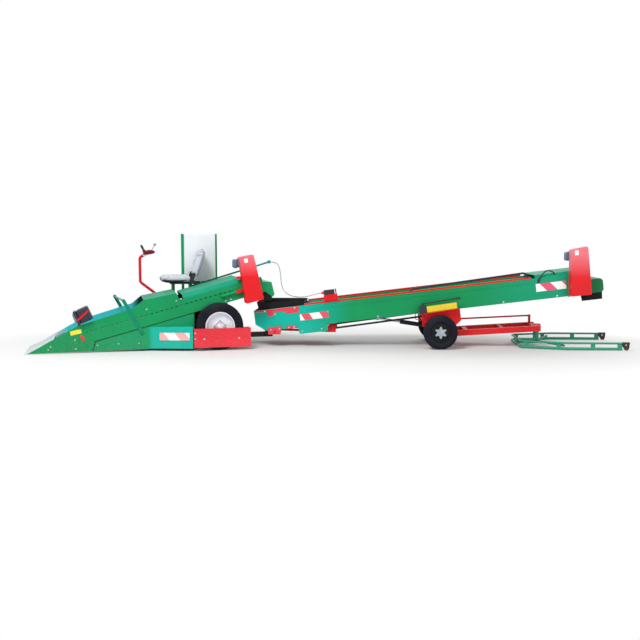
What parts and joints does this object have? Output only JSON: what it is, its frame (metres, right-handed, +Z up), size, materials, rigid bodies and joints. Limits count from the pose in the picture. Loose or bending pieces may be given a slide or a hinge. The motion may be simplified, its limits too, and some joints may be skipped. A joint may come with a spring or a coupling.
{
  "type": "self-propelled bulk crop scoop with swivelling discharge conveyor",
  "caption": "Low belt scoop with a driver's seat lifts crop from a store floor onto a hinged, wheeled discharge conveyor with a hopper, drawbar and coupling fork.",
  "frame": {"origin": "centre of the bounding box on the floor", "axes": "+Z up, +X along the discharge conveyor towards its coupling fork, +Y towards the driver's side"},
  "size_m": [8.5, 2.4436, 1.62],
  "materials": {
    "green_paint": "semi-gloss green paint",
    "red_paint": "semi-gloss red paint",
    "dark_paint": "dark satin paint",
    "maroon_paint": "dark maroon paint",
    "motor_paint": "grey-blue motor paint",
    "yellow_paint": "yellow paint",
    "white_paint": "off-white powder coat",
    "rim_paint": "white rim paint",
    "black_rim": "black rim paint",
    "bare_steel": "bare steel",
    "black_plastic": "matt black plastic",
    "grey_fabric": "light grey upholstery",
    "belt_rubber": "cleated belt rubber",
    "black_rubber": "black rubber sheet",
    "tyre_rubber": "tyre rubber",
    "cable_jacket": "light grey cable jacket"
  },
  "bodies": {
    "scoop": {"scoop_side_left": "green_paint", "scoop_side_right": "green_paint", "scoop_lower_panels": "green_paint", "scoop_bed": "bare_steel", "scoop_belt": "belt_rubber", "scoop_drums": "bare_steel", "scoop_hood": "green_paint", "scoop_drive_guard": "red_paint", "scoop_tensioner": "green_paint", "scoop_motor": "motor_paint", "scoop_axle": "red_paint", "wheel_skirts": "red_paint", "discharge_hood": "green_paint", "discharge_flap": "black_rubber", "cross_bow": "green_paint", "work_lamp": "black_plastic", "tow_tongue": "maroon_paint", "driver_platform": "green_paint", "seat_frame": "green_paint", "seat_cushion": "grey_fabric", "seat_backrest": "grey_fabric", "control_column": "red_paint", "control_console": "red_paint", "switch_cabinet": "white_paint", "cable_pole": "green_paint"},
    "scoop_wheel_left": {"scoop_tyre_left": "tyre_rubber", "scoop_rim_left": "rim_paint"},
    "scoop_wheel_right": {"scoop_tyre_right": "tyre_rubber", "scoop_rim_right": "rim_paint"},
    "undercarriage": {"swivel_frame": "red_paint", "stay_rods": "dark_paint", "chassis": "red_paint", "drawbar": "red_paint", "hand_pump": "yellow_paint", "pump_head": "black_plastic"},
    "conveyor_wheel_left": {"conveyor_tyre_left": "tyre_rubber", "conveyor_rim_left": "black_rim"},
    "conveyor_wheel_right": {"conveyor_tyre_right": "tyre_rubber", "conveyor_rim_right": "black_rim"},
    "lift_barrel": {"lift_barrel": "dark_paint"},
    "lift_rod": {"lift_rod": "bare_steel"},
    "conveyor": {"conveyor_side_left": "green_paint", "conveyor_side_right": "green_paint", "conveyor_bed": "bare_steel", "conveyor_belt": "belt_rubber", "conveyor_drums": "bare_steel", "edge_strips": "red_paint", "hopper": "black_rubber", "side_rail": "dark_paint", "junction_box": "black_plastic", "conveyor_drive_guard": "red_paint", "conveyor_motor": "motor_paint", "head_hood": "green_paint", "head_end": "green_paint", "head_flap": "black_rubber", "power_cable": "cable_jacket"},
    "fork": {"fork_frame": "green_paint", "fork_hooks": "black_plastic"}
  },
  "joints": [
    {"name": "conveyor_swivel", "type": "hinge", "parent": "scoop", "child": "undercarriage", "pos_m": [-0.83803, 0.21143, 0.15], "axis": [0, 0, 1], "range_deg": [-28, 62]},
    {"name": "conveyor_lift", "type": "hinge", "parent": "undercarriage", "child": "conveyor", "pos_m": [-0.70803, 0.21143, 0.215], "axis": [0, -1, 0], "range_deg": [0, 5], "deforming": ["power_cable"]},
    {"name": "lift_barrel_swing", "type": "hinge", "parent": "undercarriage", "child": "lift_barrel", "pos_m": [1.56197, 0.21143, 0.262], "axis": [0, 1, 0], "range_deg": [0, 8.94]},
    {"name": "lift_rod_slide", "type": "slide", "parent": "lift_barrel", "child": "lift_rod", "axis": [-0.9889, 0, 0.1483], "range_m": [0, 0.0483]},
    {"name": "scoop_wheel_left_spin", "type": "hinge", "parent": "scoop", "child": "scoop_wheel_left", "pos_m": [-1.4508, -0.54791, 0.33], "axis": [-0.2924, 0.9563, 0], "continuous": true},
    {"name": "scoop_wheel_right_spin", "type": "hinge", "parent": "scoop", "child": "scoop_wheel_right", "pos_m": [-1.77066, 0.49829, 0.33], "axis": [-0.2924, 0.9563, 0], "continuous": true},
    {"name": "conveyor_wheel_left_spin", "type": "hinge", "parent": "undercarriage", "child": "conveyor_wheel_left", "pos_m": [1.64196, -0.37307, 0.24], "axis": [0, 1, 0], "continuous": true},
    {"name": "conveyor_wheel_right_spin", "type": "hinge", "parent": "undercarriage", "child": "conveyor_wheel_right", "pos_m": [1.64196, 0.79592, 0.24], "axis": [0, 1, 0], "continuous": true},
    {"name": "fork_swivel", "type": "hinge", "parent": "undercarriage", "child": "fork", "pos_m": [3.08196, 0.21143, 0.12], "axis": [0, 0, 1], "range_deg": [-30, 30]}
  ],
  "couplings": [
    {"joint": "lift_barrel_swing", "follows": "conveyor_lift", "ratio": 1.6686},
    {"joint": "lift_rod_slide", "follows": "conveyor_lift", "m_per_rad": 0.51954}
  ]
}
